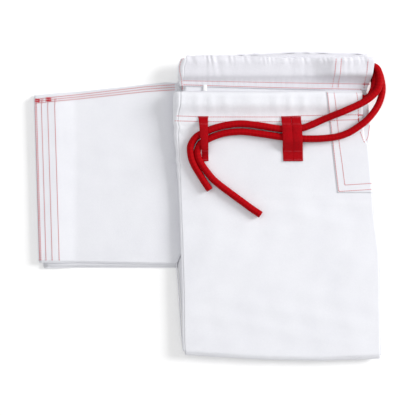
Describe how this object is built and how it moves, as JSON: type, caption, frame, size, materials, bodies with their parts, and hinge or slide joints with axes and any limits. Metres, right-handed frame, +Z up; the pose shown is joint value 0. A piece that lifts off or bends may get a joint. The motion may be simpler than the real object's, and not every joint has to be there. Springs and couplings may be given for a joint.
{
  "type": "martial arts uniform trousers",
  "caption": "Folded drill cotton martial arts trousers with a red drawcord, red belt loops and red stitching, unfolding at the knee and the calf.",
  "frame": {"origin": "under the middle of the folded bundle, on the surface it rests on", "axes": "+X towards the outer hip of the folded trousers, away from the cuffs; +Y towards the waist; +Z up, out of the wearer's left front"},
  "size_m": [0.4507, 0.3958, 0.0403],
  "materials": {
    "white_drill": "matt twill cotton",
    "red_cord": "matt braided cotton",
    "red_tape": "matt woven tape",
    "tag_tape": "satin woven tape"
  },
  "bodies": {
    "hip_section": {"left_front_hip_panel": "white_drill", "left_back_hip_panel": "white_drill", "right_back_hip_panel": "white_drill", "right_front_hip_panel": "white_drill", "left_front_casing": "white_drill", "right_front_casing": "white_drill", "left_back_casing": "white_drill", "right_back_casing": "white_drill", "left_hip_patch": "white_drill", "right_hip_patch": "white_drill", "left_hip_gusset": "white_drill", "right_hip_gusset": "white_drill", "size_tag_blank": "tag_tape", "left_inner_loop": "red_tape", "right_inner_loop": "red_tape", "left_outer_loop_a": "red_tape", "right_outer_loop_a": "red_tape", "left_outer_loop_b": "red_tape", "right_outer_loop_b": "red_tape", "cord_back_lower_run": "red_cord", "cord_back_upper_run": "red_cord", "cord_front_run": "red_cord", "left_cord_end": "red_cord", "right_cord_end": "red_cord", "left_hip_turn": "red_cord", "right_hip_turn": "red_cord"},
    "shin_section": {"left_front_shin": "white_drill", "left_back_shin": "white_drill", "right_back_shin": "white_drill", "right_front_shin": "white_drill"},
    "cuff_section": {"right_front_cuff": "white_drill", "right_back_cuff": "white_drill", "left_back_cuff": "white_drill", "left_front_cuff": "white_drill", "right_front_hem": "white_drill", "right_back_hem": "white_drill", "left_back_hem": "white_drill", "left_front_hem": "white_drill"}
  },
  "joints": [
    {"name": "knee_fold", "type": "hinge", "parent": "hip_section", "child": "shin_section", "pos_m": [0.09, -0.1985, 0.0101], "axis": [-1, 0, 0], "range_deg": [0, 180]},
    {"name": "calf_fold", "type": "hinge", "parent": "shin_section", "child": "cuff_section", "pos_m": [-0.037, 0.162, 0.0046], "axis": [0.7374, -0.6755, 0], "range_deg": [0, 180]}
  ]
}
